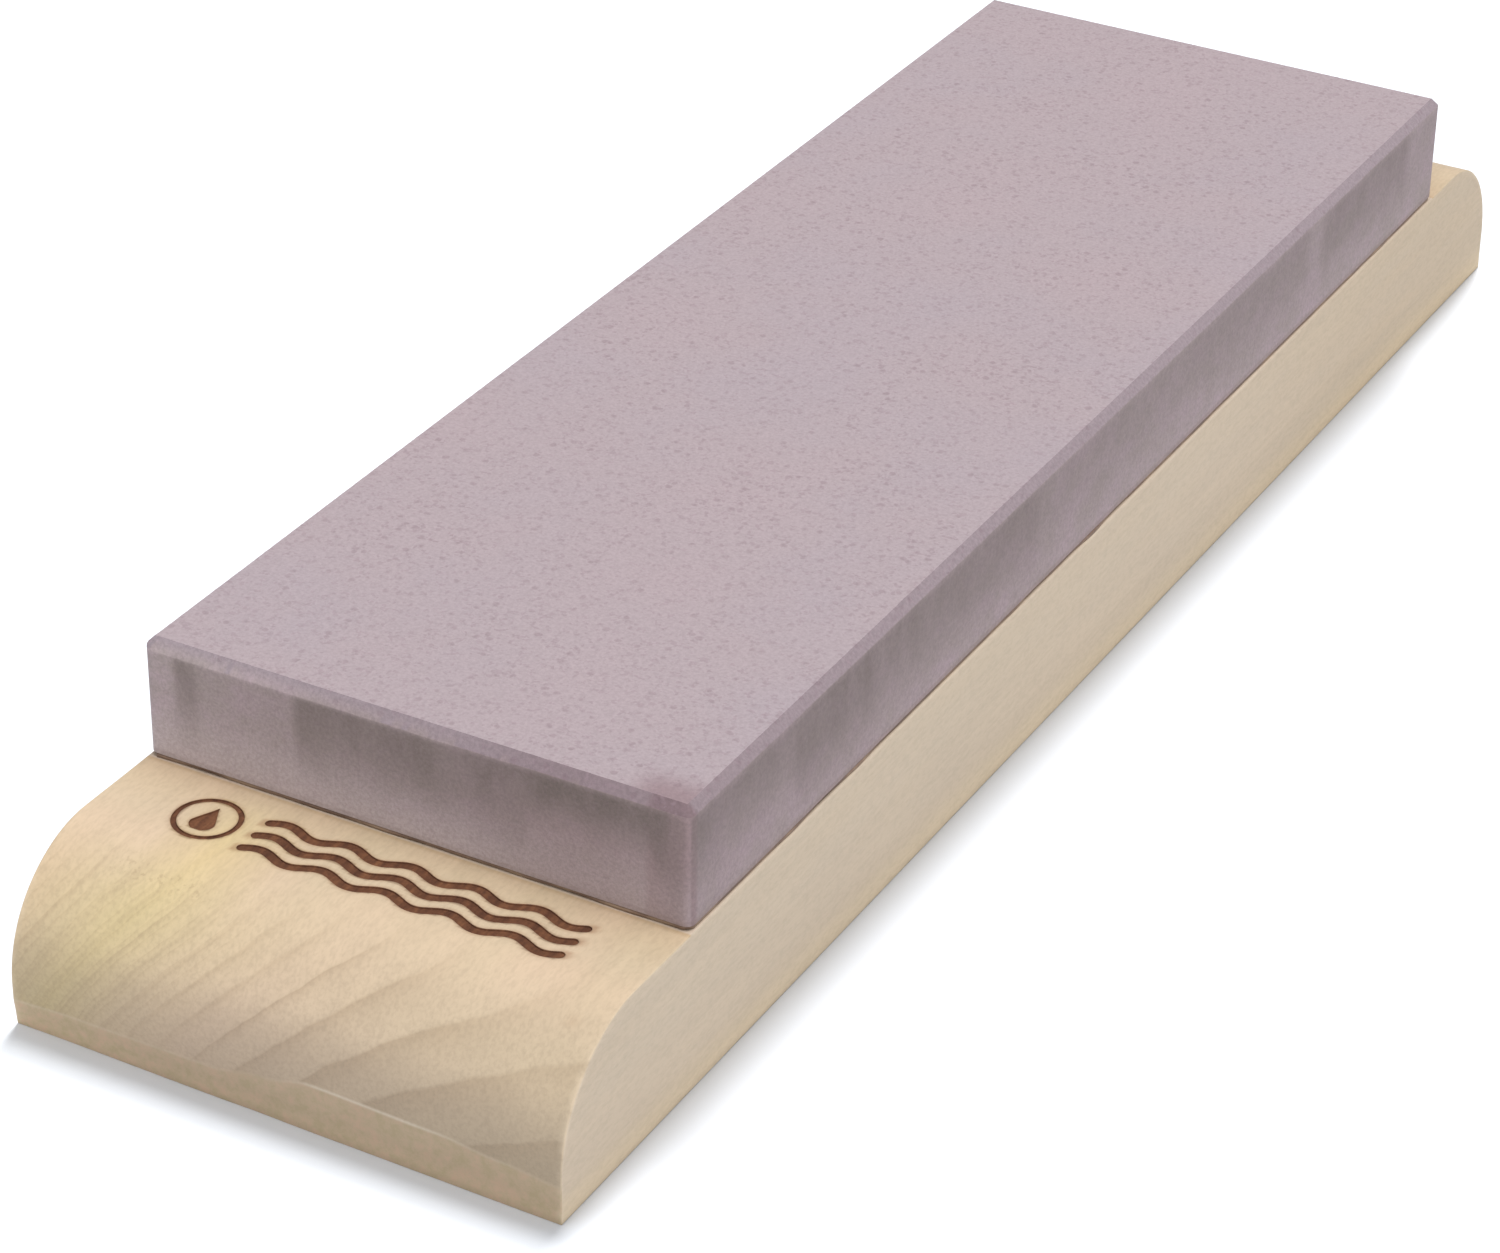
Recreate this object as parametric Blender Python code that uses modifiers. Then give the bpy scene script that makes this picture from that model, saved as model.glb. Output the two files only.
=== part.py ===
"""Sharpening stone bonded to a wooden base with rounded ends.

Metres, +Z up. The base rests on Z = 0 with its centre over the origin. Its length lies along Y,
with the longer bare end at -Y, and its width lies along X.
"""

import math

import bmesh
import bpy

# Wooden base
BASE_LENGTH = 0.2600
BASE_WIDTH = 0.0704
BASE_HEIGHT = 0.0205
END_ROUND_RADIUS = 0.0150
END_ROUND_SEGMENTS = 24
ARRIS_WIDTH = 0.0003
ARRIS_SEGMENTS = 2

# Sharpening stone
STONE_LENGTH = 0.2100
STONE_WIDTH = 0.0700
STONE_THICKNESS = 0.0150
STONE_CHAMFER = 0.0010
FRONT_SHELF = 0.0270

# Bond between the two, set back from the edges of the stone
BOND_THICKNESS = 0.0003
BOND_SETBACK = 0.0010
BOND_CLEARANCE = 0.0001

# Edges that turn by less than this are part of a round and stay unbroken
SHARP_ANGLE = math.radians(60)
SMOOTH_ANGLE = math.radians(30)
BEVEL_WEIGHT = "bevel_weight_edge"

COLLECTION_NAME = "sharpening_stone_on_base"

# Places that follow from the sizes above
STONE_CENTRE_Y = -BASE_LENGTH / 2 + FRONT_SHELF + STONE_LENGTH / 2
BOND_BOTTOM_Z = BASE_HEIGHT + BOND_CLEARANCE
STONE_BOTTOM_Z = BOND_BOTTOM_Z + BOND_THICKNESS + BOND_CLEARANCE


def clear_scene():
    """Remove every object of the opened scene."""
    for old in list(bpy.data.objects):
        bpy.data.objects.remove(old, do_unlink=True)


def make_collection():
    """Return a new collection for the parts, linked to the scene."""
    collection = bpy.data.collections.new(COLLECTION_NAME)
    bpy.context.scene.collection.children.link(collection)
    return collection


def make_material(name, colour, roughness, metallic=0.0):
    """Return a Principled material with one colour."""
    material = bpy.data.materials.new(name)
    material.use_nodes = True
    shader = material.node_tree.nodes["Principled BSDF"]
    shader.inputs["Base Color"].default_value = (*colour, 1.0)
    shader.inputs["Roughness"].default_value = roughness
    shader.inputs["Metallic"].default_value = metallic
    material.diffuse_color = (*colour, 1.0)
    return material


def make_block(collection, name, size, centre_y, bottom_z, material, is_weighted):
    """Make a box standing on bottom_z, and weigh the edges that is_weighted picks.

    is_weighted takes the middle of an edge in units of the box's half sizes, so that each of its
    coordinates is -1, 0 or 1.
    """
    shape = bmesh.new()
    bmesh.ops.create_cube(shape, size=2.0)
    weight = shape.edges.layers.float.new(BEVEL_WEIGHT)
    for edge in shape.edges:
        middle = (edge.verts[0].co + edge.verts[1].co) / 2
        edge[weight] = 1.0 if is_weighted(middle) else 0.0
    half_size = [length / 2 for length in size]
    bmesh.ops.scale(shape, vec=half_size, verts=shape.verts)

    mesh = bpy.data.meshes.new(name)
    shape.to_mesh(mesh)
    shape.free()
    mesh.materials.append(material)

    block = bpy.data.objects.new(name, mesh)
    block.location = (0.0, centre_y, bottom_z + size[2] / 2)
    collection.objects.link(block)
    return block


def add_bevel(block, name, width, segments, limit):
    """Add a Bevel modifier that is limited by WEIGHT or by ANGLE."""
    bevel = block.modifiers.new(name, "BEVEL")
    bevel.width = width
    bevel.segments = segments
    bevel.limit_method = limit
    bevel.angle_limit = SHARP_ANGLE
    bevel.use_clamp_overlap = True
    return bevel


def shade_rounds(block):
    """Shade the rounds smooth and keep the flat faces crisp."""
    block.data.shade_smooth()
    block.data.set_sharp_from_angle(angle=SMOOTH_ANGLE)


def is_top_end_edge(middle):
    """Pick the two edges across the top of the base's ends."""
    return middle.z > 0.5 and abs(middle.y) > 0.5


def is_free_stone_edge(middle):
    """Pick the edges round the stone's top face and its four upright edges."""
    is_upright = abs(middle.x) > 0.5 and abs(middle.y) > 0.5
    return middle.z > 0.5 or is_upright


def no_edge(middle):
    """Pick nothing: the bond keeps square edges."""
    return False


def make_base(collection):
    """Board with a quarter round across each upper end and eased arrises."""
    material = make_material("light_magnolia_wood", (0.62, 0.47, 0.31), 0.60)
    size = (BASE_WIDTH, BASE_LENGTH, BASE_HEIGHT)
    base = make_block(collection, "wooden_base", size, 0.0, 0.0, material, is_top_end_edge)
    shade_rounds(base)
    add_bevel(base, "end_rounds", END_ROUND_RADIUS, END_ROUND_SEGMENTS, "WEIGHT")
    add_bevel(base, "eased_arrises", ARRIS_WIDTH, ARRIS_SEGMENTS, "ANGLE")
    return base


def make_bond(collection):
    """Thin sheet of set adhesive between the base and the stone."""
    material = make_material("brown_adhesive", (0.10, 0.055, 0.030), 0.55)
    width = STONE_WIDTH - 2 * BOND_SETBACK
    length = STONE_LENGTH - 2 * BOND_SETBACK
    size = (width, length, BOND_THICKNESS)
    return make_block(
        collection, "adhesive_layer", size, STONE_CENTRE_Y, BOND_BOTTOM_Z, material, no_edge
    )


def make_stone(collection):
    """Abrasive block with chamfers on all but its bonded edges."""
    material = make_material("lilac_ceramic_abrasive", (0.46, 0.39, 0.43), 0.85)
    size = (STONE_WIDTH, STONE_LENGTH, STONE_THICKNESS)
    stone = make_block(
        collection, "sharpening_stone", size, STONE_CENTRE_Y, STONE_BOTTOM_Z, material, is_free_stone_edge
    )
    add_bevel(stone, "chamfers", STONE_CHAMFER, 1, "WEIGHT")
    return stone


def main():
    clear_scene()
    collection = make_collection()
    make_base(collection)
    make_bond(collection)
    make_stone(collection)


main()
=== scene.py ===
import math

import bmesh
import bpy
from mathutils import Matrix, Vector, noise


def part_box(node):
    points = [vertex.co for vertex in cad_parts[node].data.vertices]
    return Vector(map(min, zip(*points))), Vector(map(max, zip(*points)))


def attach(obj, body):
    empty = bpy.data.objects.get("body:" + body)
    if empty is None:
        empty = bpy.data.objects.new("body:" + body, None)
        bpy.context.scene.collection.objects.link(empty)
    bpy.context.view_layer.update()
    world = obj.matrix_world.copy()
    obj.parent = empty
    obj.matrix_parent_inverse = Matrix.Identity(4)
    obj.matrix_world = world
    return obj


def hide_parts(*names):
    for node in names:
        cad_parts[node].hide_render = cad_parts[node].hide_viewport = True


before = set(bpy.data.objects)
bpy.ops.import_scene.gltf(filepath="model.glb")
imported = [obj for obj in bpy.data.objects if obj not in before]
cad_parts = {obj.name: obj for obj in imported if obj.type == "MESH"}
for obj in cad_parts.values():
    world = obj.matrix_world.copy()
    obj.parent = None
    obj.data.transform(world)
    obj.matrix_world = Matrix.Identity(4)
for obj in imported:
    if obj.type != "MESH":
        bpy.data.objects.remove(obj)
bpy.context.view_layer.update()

BASE_LOW, BASE_HIGH = (Vector(corner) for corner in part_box("wooden_base"))
STONE_LOW, STONE_HIGH = (Vector(corner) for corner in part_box("sharpening_stone"))
MILLI = 0.001

# Camera: the place, the angles in degrees and the lens of the photograph's view
CAMERA_PLACE = Vector((0.22935, -0.44510, 0.29363))
CAMERA_AZIMUTH = 28.7508
CAMERA_ELEVATION = 30.8598
CAMERA_ROLL = 0.8245
CAMERA_LENS = 108.206
SENSOR_WIDTH = 36.0

# Light: a white sky, a soft key on the right and a front fill for the object, and a narrow strip behind
# and a fill on the left for the floor. Directions are azimuth and elevation, and spreads are in degrees.
SKY_LIGHT = 0.50
KEY_POWER = 3.4
KEY_DIRECTION = (80.0, 72.0)
KEY_SPREAD = 40.0
FILL_POWER = 0.8
FILL_DIRECTION = (0.0, 10.0)
FILL_SPREAD = 60.0
STRIP_POWER = 1.0
STRIP_LEAN = 5.2
STRIP_HEIGHTS = (58.0, 65.0, 73.0)
STRIP_SPREAD = 12.0
FLOOR_FILL_POWER = 0.54
FLOOR_FILL_DIRECTION = (-45.0, 45.0)
FLOOR_SIZE = 30.0
FLOOR_DROP = 0.01 * MILLI

# Wooden base: the rounds of its ends and the flat land that is left below each of them
ROUND_RADIUS = 15.0 * MILLI
ROUND_STEPS = 40
LAND_STEPS = 5
ARRIS = 0.17 * MILLI
ARRIS_STEPS = 3
ARRIS_WEAR = 0.45
FOOT_ARRIS = 0.08 * MILLI
SIDE_MARGIN = 0.5 * MILLI
FOOT_ZONE = 1.0 * MILLI
FOOT_MARGIN = 0.7 * MILLI
# How high the painted light low on the base's long sides reaches
SIDE_FADE = 5.0 * MILLI
GRAIN_STEP = 0.5 * MILLI
COARSE_STEP = 5.0 * MILLI
# The ridge between land and round: (x, height), and (x, strength of the front one's burnish and painted
# highlight), in mm
FRONT_RIDGE = (
    (-35.2, 3.5), (-27.0, 3.9), (-9.0, 4.1), (-2.0, 5.2), (4.0, 6.4), (20.0, 6.1), (28.0, 5.4), (35.2, 4.8)
)
REAR_RIDGE = ((-35.2, 5.0), (-10.0, 5.6), (12.0, 4.4), (35.2, 5.2))
FRONT_SHINE = (
    (-35.2, 0.30), (-12.0, 0.25), (-4.0, 0.08), (1.0, 0.20),
    (5.5, 1.0), (16.0, 1.0), (24.0, 0.35), (35.2, 0.15),
)
REAR_SHINE = 0.3
SHINE_CORE = 0.04 * MILLI
RIDGE_EDGE = 0.32 * MILLI
SAWN_BELOW = 0.2 * MILLI
SAWN_ABOVE = 0.3 * MILLI
# How far the front land leans in towards its foot, as a slope, at each x in mm
LAND_LEAN = ((-35.2, 0.13), (-5.0, 0.06), (5.0, 0.02), (35.2, 0.0))
# A vertex beyond SIDE_FACE is on a long side, and one beyond END_ZONE is on an end or its round
SIDE_FACE = BASE_HIGH.x - 0.02 * MILLI
END_ZONE = BASE_HIGH.y - 2.0 * MILLI
UNDER_STONE = STONE_LOW.y + 2.0 * MILLI
# Burnished arrises, lighter from wear and a painted highlight: where they are across the base, in from
# the rim of a side, up it and along it
WEAR_HIGHLIGHT_ACROSS = (BASE_HIGH.x - 0.7 * MILLI, BASE_HIGH.x - 0.1 * MILLI)
WEAR_HIGHLIGHT_DEPTH = (0.25 * MILLI, 0.55 * MILLI)
WEAR_HIGHLIGHT_HEIGHT = (0.2 * MILLI, 1.0 * MILLI)
WEAR_HIGHLIGHT_LENGTH = (BASE_HIGH.y - 0.6 * ROUND_RADIUS, BASE_HIGH.y - 0.3 * ROUND_RADIUS)
# Where the side's hue shifts and the yellow streak fades out; where the land is paler low down (painted
# light) and towards the left; and how far the painted shade, with some grime, reaches from the stone's foot
FAR_RANGE = (20.0 * MILLI, 110.0 * MILLI)
STREAK_RANGE = (BASE_LOW.y + 17.0 * MILLI, BASE_LOW.y + 27.0 * MILLI)
LAND_FADE = (0.5 * MILLI, 3.0 * MILLI)
LEFT_FADE = (-31.0 * MILLI, -12.0 * MILLI)
SHADE_AND_GRIME_REACH = 15.0 * MILLI
# Torn grain: its place along the arc of the front round, its width, and where it starts and ends, in mm
TORN_ARC = 6.3
TORN_WIDTH = 1.6
TORN_START = (-29.0, -26.0)
TORN_END = (-17.0, -11.0)

# Burned mark: a drop in a ring and three waves, the plain sign for a stone that is used with water
MARK_DEPTH = 0.22 * MILLI
MARK_CLEAR = 0.6 * MILLI
MARK_CENTRE_Y = BASE_LOW.y + 19.5 * MILLI
MARK_HALF_LENGTH = 30.0 * MILLI
MARK_HALF_WIDTH = 6.0 * MILLI
RING_CENTRE = Vector((-21.9 * MILLI, MARK_CENTRE_Y))
RING_RADIUS = 3.75 * MILLI
RING_STROKE = 0.65 * MILLI
RING_STEPS = 72
DROP_LENGTH = 4.9 * MILLI
DROP_WIDTH = 3.1 * MILLI
DROP_TAPER = 1.15
DROP_BULGE = 0.35
DROP_STEPS = 40
WAVE_START_X = -15.4 * MILLI
WAVE_END_X = 25.0 * MILLI
WAVE_ROWS = (-1.0, 0.0, 1.0)
WAVE_PERIODS = 5.0
WAVE_HEIGHT = 0.62 * MILLI
WAVE_PITCH = 2.75 * MILLI
WAVE_STROKE = 1.25 * MILLI
WAVE_STEPS = 160
CAP_STEPS = 6
CAP_START = 4.0
SCORCH_REACH = 0.18 * MILLI
SURFACE_TOLERANCE = 0.01 * MILLI
# A small brown spot in the wood, on the right of the front round
SPOT_PLACE = Vector((31.4 * MILLI, BASE_LOW.y + 8.8 * MILLI, BASE_HIGH.z - 1.35 * MILLI))
SPOT_REACH = 0.8 * MILLI
SPOT_STRENGTH = 0.32

# Stone
STONE_STEP = 0.7 * MILLI
STONE_CHAMFER = 1.0 * MILLI
STONE_FOOT = 0.12 * MILLI
RIM_GAP = 0.15 * MILLI
STONE_MIDDLE = (STONE_LOW.y + STONE_HIGH.y) / 2.0
STONE_HALF = (STONE_HIGH.y - STONE_LOW.y) / 2.0
# How much lower the front chamfer reaches than the others: (x, drop) in mm, and where it is the front one
FRONT_DROP = ((-33.0, 0.40), (0.0, 0.30), (20.0, 0.12), (35.0, 0.05))
FRONT_EDGE = (STONE_LOW.y + 0.1 * MILLI, STONE_LOW.y + STONE_CHAMFER)
FACE_TOLERANCE = 0.3 * MILLI
CORNER_STEPS = 4
# How high the painted light low on the stone's sides reaches
PAINTED_LIGHT_HEIGHT = 9.0 * MILLI
# Height of the band of painted shade at the stone's foot
FOOT_BAND = 0.9 * MILLI
# Nibbled edges: how deep, with this many features a metre, and how rare the chips are
EDGE_ROUGHNESS = 0.035 * MILLI
EDGE_GRAIN = 900.0
CHIP_DEPTH = 0.16 * MILLI
CHIP_GRAIN = 160.0
CHIP_START = 0.42

# Dried slurry on the front of the stone: (start x, end x, depth below the chamfer, strength), in mm
FRONT_STAINS = (
    (-31.0, -28.0, 9.0, 0.50),
    (-28.0, -15.0, 7.0, 0.22),
    (-15.0, 14.6, 8.5, 0.66),
    (14.6, 30.6, 5.4, 0.86),
    (30.6, 32.0, 7.5, 0.88),
    (32.0, 34.2, 12.0, 0.38),
)
FRONT_BLUR = 0.6
# The same on the right side, in y
SIDE_STAINS = (
    (-103.0, -97.0, 8.0, 0.60),
    (-97.0, -80.0, 7.0, 0.48),
    (-80.0, -62.0, 10.0, 0.66),
    (-62.0, -20.0, 9.0, 0.52),
    (-20.0, 28.0, 8.0, 0.26),
    (28.0, 61.0, 8.5, 0.30),
    (66.0, 96.0, 8.5, 0.42),
)
SIDE_BLUR = 1.8
STAIN_LIMIT = 0.9
# Where the working face is rubbed, by its front right corner
RUBBED_ACROSS = (STONE_HIGH.x - 9.5 * MILLI, STONE_HIGH.x - 5.0 * MILLI)
RUBBED_BACK = (STONE_LOW.y + 2.0 * MILLI, STONE_LOW.y + 6.5 * MILLI)
# Mauve tint of the stone: (x, strength) along the front and (y, strength) along the sides, in mm
FRONT_TINT = ((-30.0, 0.0), (-20.0, 0.08), (0.0, 0.27), (20.0, 0.68), (29.2, 0.64), (30.2, 1.0))
FLANK_TINT = ((-101.0, 0.42), (-80.0, 0.32), (-40.0, 0.25), (40.0, 0.16), (90.0, 0.12))
FRONT_ZONE = STONE_LOW.y + 1.5 * MILLI

# Glue line between the two: how far it laps into both and stops short of the corners, and its section as
# (share of its height, set-back in mm)
GLUE_STEP = 1.2 * MILLI
GLUE_INSET = 0.10 * MILLI
GLUE_WANDER = 0.30 * MILLI
GLUE_LAP = 0.03 * MILLI
GLUE_CORNER = 1.0 * MILLI
GLUE_SECTION = ((0.0, 0.16), (0.3, 0.02), (0.7, 0.0), (1.0, 0.12))

# Growth rings: cylinders round a pith that runs low on the right, nearly along the length. Radii are in mm,
# and each sway of the rings is (features a metre, reach).
PITH_X = 51.5 * MILLI
PITH_Z = -51.4 * MILLI
PITH_SLOPE = 0.02
RING_SWAYS = (((28.0, 9.0, 28.0), 2.2 * MILLI), ((260.0, 60.0, 260.0), 0.8 * MILLI))
RING_NEAR = 50.0
RING_FAR = 115.0
RING_BOUNDARIES = (60.0, 66.4, 72.9, 77.6, 82.3, 86.0, 89.5, 92.3, 94.8, 97.1, 99.7, 102.2, 105.0, 108.0)
RING_EDGE = 0.20
THIN_RING_RANGE = (78.0, 88.0)
FINE_RING_PITCH = 1.3
FINE_RING_START = (88.0, 96.0)

WHITE = (1.0, 1.0, 1.0, 1.0)


def linear(level):
    """Return the linear value of an sRGB level from 0 to 255."""
    share = level / 255.0
    if share <= 0.04045:
        return share / 12.92
    return ((share + 0.055) / 1.055) ** 2.4


def tone(red, green, blue):
    """Return an sRGB colour as the linear RGBA that shaders take."""
    return (linear(red), linear(green), linear(blue), 1.0)


def smoothstep(value, low, high):
    """Return 0 below low, 1 above high, and a smooth rise between."""
    share = min(1.0, max(0.0, (value - low) / (high - low)))
    return share * share * (3.0 - 2.0 * share)


def along(points, position):
    """Return the value at position on a line through (position, value) points, eased between them."""
    if position <= points[0][0]:
        return points[0][1]
    for (start, first), (end, second) in zip(points, points[1:]):
        if position <= end:
            return first + (second - first) * smoothstep(position, start, end)
    return points[-1][1]


def steps_between(start, end, step):
    """Return evenly spaced values from start to end, about step apart, both ends included."""
    count = max(1, round(abs(end - start) / step))
    return [start + (end - start) * k / count for k in range(count + 1)]


class Graph:
    """A material's nodes, made by calls that return sockets."""

    def __init__(self, name):
        self.material = bpy.data.materials.new(name)
        self.material.use_nodes = True
        self.tree = self.material.node_tree
        self.shader = self.tree.nodes["Principled BSDF"]
        self.place = self.add("ShaderNodeTexCoord").outputs["Object"]

    def add(self, kind, **settings):
        node = self.tree.nodes.new(kind)
        for key, value in settings.items():
            setattr(node, key, value)
        return node

    def put(self, value, socket):
        """Link a socket, or set a constant."""
        if isinstance(value, bpy.types.NodeSocket):
            self.tree.links.new(value, socket)
        else:
            socket.default_value = value

    def math(self, operation, *values):
        node = self.add("ShaderNodeMath", operation=operation)
        for value, socket in zip(values, node.inputs):
            self.put(value, socket)
        return node.outputs[0]

    def times(self, first, second):
        return self.math("MULTIPLY", first, second)

    def minus(self, first, second):
        return self.math("SUBTRACT", first, second)

    def vector(self, operation, *values):
        node = self.add("ShaderNodeVectorMath", operation=operation)
        for value, socket in zip(values, node.inputs):
            self.put(value, socket)
        return node.outputs["Value" if operation in ("LENGTH", "DOT_PRODUCT") else "Vector"]

    def split(self, vector):
        node = self.add("ShaderNodeSeparateXYZ")
        self.put(vector, node.inputs[0])
        return node.outputs

    def join(self, x, y, z):
        node = self.add("ShaderNodeCombineXYZ")
        for value, socket in zip((x, y, z), node.inputs):
            self.put(value, socket)
        return node.outputs[0]

    def noise(self, scale, detail=2.0, roughness=0.5, coloured=False):
        """Return noise of about scale features a metre, or of a different number along each axis."""
        vector = self.place
        if isinstance(scale, tuple):
            vector = self.vector("MULTIPLY", vector, scale)
            scale = 1.0
        node = self.add("ShaderNodeTexNoise")
        self.put(vector, node.inputs["Vector"])
        node.inputs["Scale"].default_value = scale
        node.inputs["Detail"].default_value = detail
        node.inputs["Roughness"].default_value = roughness
        return node.outputs[1 if coloured else 0]

    def cells(self, scale):
        """Return the distance to the nearest cell centre and that cell's random colour."""
        node = self.add("ShaderNodeTexVoronoi")
        self.put(self.place, node.inputs["Vector"])
        node.inputs["Scale"].default_value = scale
        return node.outputs["Distance"], node.outputs["Color"]

    def rise(self, value, low, high, bottom=0.0, top=1.0):
        """Return bottom below low, top above high, and a smooth change between."""
        node = self.add("ShaderNodeMapRange", interpolation_type="SMOOTHSTEP")
        for amount, socket in zip((value, low, high, bottom, top), node.inputs):
            self.put(amount, socket)
        return node.outputs[0]

    def ramp(self, value, stops):
        """Return a colour read from (position, colour) stops."""
        node = self.add("ShaderNodeValToRGB")
        elements = node.color_ramp.elements
        elements[0].position, elements[0].color = stops[0]
        elements[1].position, elements[1].color = stops[-1]
        for position, colour in stops[1:-1]:
            elements.new(position).color = colour
        self.put(value, node.inputs[0])
        return node.outputs[0]

    def mix(self, factor, first, second, blend="MIX"):
        node = self.add("ShaderNodeMix", data_type="RGBA", blend_type=blend)
        self.put(factor, node.inputs["Factor"])
        self.put(first, node.inputs[6])
        self.put(second, node.inputs[7])
        return node.outputs[2]

    def filter(self, colour, hue):
        """Return a colour multiplied by another."""
        return self.mix(1.0, colour, hue, blend="MULTIPLY")

    def shade(self, colour, factor):
        """Return a colour multiplied by a number."""
        return self.filter(colour, self.join(factor, factor, factor))

    def attribute(self, name):
        return self.add("ShaderNodeAttribute", attribute_name=name).outputs["Fac"]

    def normal(self):
        return self.split(self.add("ShaderNodeNewGeometry").outputs["Normal"])

    def bump(self, height, distance):
        node = self.add("ShaderNodeBump")
        node.inputs["Distance"].default_value = distance
        self.put(height, node.inputs["Height"])
        return node.outputs[0]

    def finish(self, colour, roughness, normal, specular):
        self.put(colour, self.shader.inputs["Base Color"])
        self.put(roughness, self.shader.inputs["Roughness"])
        self.put(normal, self.shader.inputs["Normal"])
        self.shader.inputs["Specular IOR Level"].default_value = specular
        return self.material


def grey(level):
    """Return a grey for colour ramps that carry a plain number."""
    return (level, level, level, 1.0)


def wood_rings(graph):
    """Return the place between RING_NEAR and RING_FAR, the latewood shade and the fine rings' shade."""
    place = graph.place
    for scale, sway in RING_SWAYS:
        drift = graph.vector("SUBTRACT", graph.noise(scale, detail=1.0, coloured=True), (0.5, 0.5, 0.5))
        place = graph.vector("ADD", place, graph.vector("MULTIPLY", drift, (sway, 0.0, sway)))
    x, y, z = graph.split(place)
    side = graph.minus(x, PITH_X)
    height = graph.minus(graph.minus(z, PITH_Z), graph.times(y, PITH_SLOPE))
    radius = graph.times(graph.vector("LENGTH", graph.join(side, 0.0, height)), 1.0 / MILLI)
    span = RING_FAR - RING_NEAR
    share = graph.math("DIVIDE", graph.minus(radius, RING_NEAR), span)
    stops = [(0.0, grey(0.3))]
    for boundary in RING_BOUNDARIES:
        stops.append(((boundary - RING_EDGE - RING_NEAR) / span, grey(1.0)))
        stops.append(((boundary + RING_EDGE - RING_NEAR) / span, grey(0.0)))
    stops.append((1.0, grey(0.6)))
    late = graph.math("POWER", graph.ramp(share, stops), graph.rise(radius, *THIN_RING_RANGE, 2.0, 6.0))
    turn = graph.math("FRACT", graph.math("DIVIDE", radius, FINE_RING_PITCH))
    fine = graph.times(graph.math("POWER", turn, 5.0), graph.rise(radius, *FINE_RING_START))
    return share, late, fine


def end_grain(graph, share, late, fine):
    """Return the end grain's colour: grey-brown near the pith, then peach, then a yellow streak."""
    hues = [
        (0.00, tone(168, 150, 124)),
        (0.22, tone(173, 156, 133)),
        (0.44, tone(180, 161, 139)),
        (0.58, tone(184, 163, 141)),
        (0.69, tone(186, 166, 139)),
        (0.79, tone(186, 168, 131)),
        (0.87, tone(185, 166, 135)),
        (0.95, tone(186, 164, 137)),
    ]
    strength = graph.rise(graph.noise((55.0, 20.0, 55.0), detail=1.0), 0.30, 0.60, 0.45, 1.0)
    strength = graph.times(strength, graph.rise(share, 0.0, 0.45, 0.62, 1.0))
    late = graph.times(graph.times(late, strength), 0.35)
    colour = graph.mix(late, graph.ramp(share, hues), tone(126, 104, 80))
    colour = graph.mix(graph.times(fine, 0.14), colour, tone(126, 100, 70))
    # Upright end faces are darker: partly the end grain's own tone, partly painted shade
    steep = graph.rise(graph.math("ABSOLUTE", graph.normal()[1]), 0.80, 0.99, 1.0, 0.81)
    return graph.shade(colour, steep)


def long_grain(graph, share, late):
    """Return the long grain's colour: cream to peach, with a yellow streak in front and its own sides."""
    broad = graph.noise((70.0, 6.0, 70.0), detail=2.0)
    colour = graph.ramp(
        broad, [(0.30, tone(190, 170, 146)), (0.50, tone(193, 171, 148)), (0.70, tone(196, 172, 150))]
    )
    _, length, height = graph.split(graph.place)
    streak = graph.ramp(share, [(0.70, grey(0.0)), (0.79, grey(1.0)), (0.87, grey(0.0))])
    streak = graph.times(streak, graph.rise(length, *STREAK_RANGE, 0.85, 0.0))
    colour = graph.mix(streak, colour, tone(194, 172, 132))
    sideness = graph.rise(graph.math("ABSOLUTE", graph.normal()[0]), 0.3, 0.9)
    # The long sides are lighter low down: painted light against the shade near the floor
    side_colour = graph.mix(graph.rise(height, 0.0, SIDE_FADE), tone(199, 182, 155), tone(181, 166, 146))
    far_hue = graph.mix(graph.rise(length, *FAR_RANGE), WHITE, (0.94, 0.92, 0.88, 1.0))
    side_colour = graph.filter(side_colour, far_hue)
    colour = graph.mix(graph.times(sideness, 0.85), colour, side_colour)
    return graph.mix(graph.times(late, 0.03), colour, tone(150, 124, 92))


def sawn_land(graph, colour):
    """Return the colour with the sawn lands added: browner, with small warm and green patches."""
    across, _, height = graph.split(graph.place)
    sawn = graph.times(graph.attribute("sawn"), 0.85)
    patch = graph.noise(850.0, detail=4.0, roughness=0.7)
    hue = graph.ramp(
        patch, [(0.35, tone(156, 141, 112)), (0.50, tone(165, 146, 121)), (0.65, tone(173, 147, 124))]
    )
    # Painted light low down on the lands, against the shade at their foot; they are also paler to the left
    pale = graph.rise(height, *LAND_FADE, 1.16, 1.0)
    pale = graph.times(pale, graph.rise(across, *LEFT_FADE, 1.14, 1.0))
    return graph.shade(graph.mix(sawn, colour, hue), graph.rise(sawn, 0.0, 0.85, 1.0, pale))


def shaded_grimy_shelf(graph, colour):
    """Return the colour with upper faces darker towards the stone's foot: painted shade, with some grime.
    """
    length = graph.split(graph.place)[1]
    gap = graph.minus(graph.math("ABSOLUTE", graph.minus(length, STONE_MIDDLE)), STONE_HALF)
    hues = [
        (0.00, (0.84, 0.88, 0.95, 1.0)),
        (0.02, (0.76, 0.71, 0.61, 1.0)),
        (0.06, (0.87, 0.86, 0.80, 1.0)),
        (0.27, (0.85, 0.865, 0.81, 1.0)),
        (0.55, (0.91, 0.94, 0.905, 1.0)),
        (0.85, (0.96, 0.97, 0.94, 1.0)),
    ]
    # Painted shade, with some grime: upper faces darken close to the stone's foot and lighten further out
    shaded_grimy = graph.filter(colour, graph.ramp(graph.math("DIVIDE", gap, SHADE_AND_GRIME_REACH), hues))
    return graph.mix(graph.rise(graph.normal()[2], 0.2, 0.8), colour, shaded_grimy)


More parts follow.
